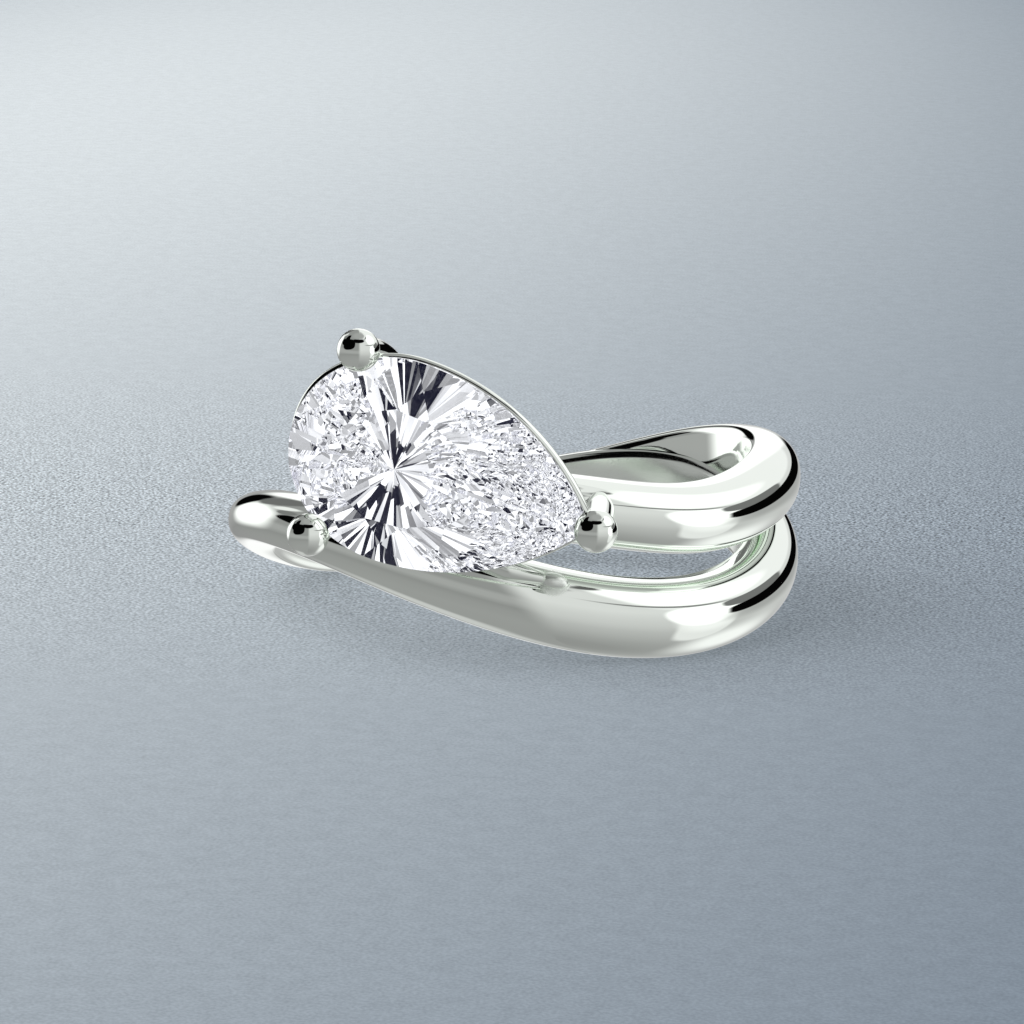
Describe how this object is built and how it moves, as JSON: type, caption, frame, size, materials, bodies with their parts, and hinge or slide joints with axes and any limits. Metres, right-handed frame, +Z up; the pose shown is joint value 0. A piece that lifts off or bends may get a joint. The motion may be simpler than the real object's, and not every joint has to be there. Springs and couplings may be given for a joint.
{
  "type": "finger ring",
  "caption": "Split-shank finger ring of polished white metal with a large pear-cut clear stone held by round-tipped claws, lying on its side.",
  "frame": {"origin": "on the finger's axis, at the middle height of the band's resting waves", "axes": "+Z up along the finger's axis, the ring lying on its side; the stone faces -Y"},
  "size_m": [0.0208, 0.0238, 0.012],
  "materials": {
    "white_metal": "polished",
    "stone": "polished facets"
  },
  "bodies": {
    "root": {"band_and_head": "white_metal", "pear_stone": "stone"}
  },
  "joints": []
}
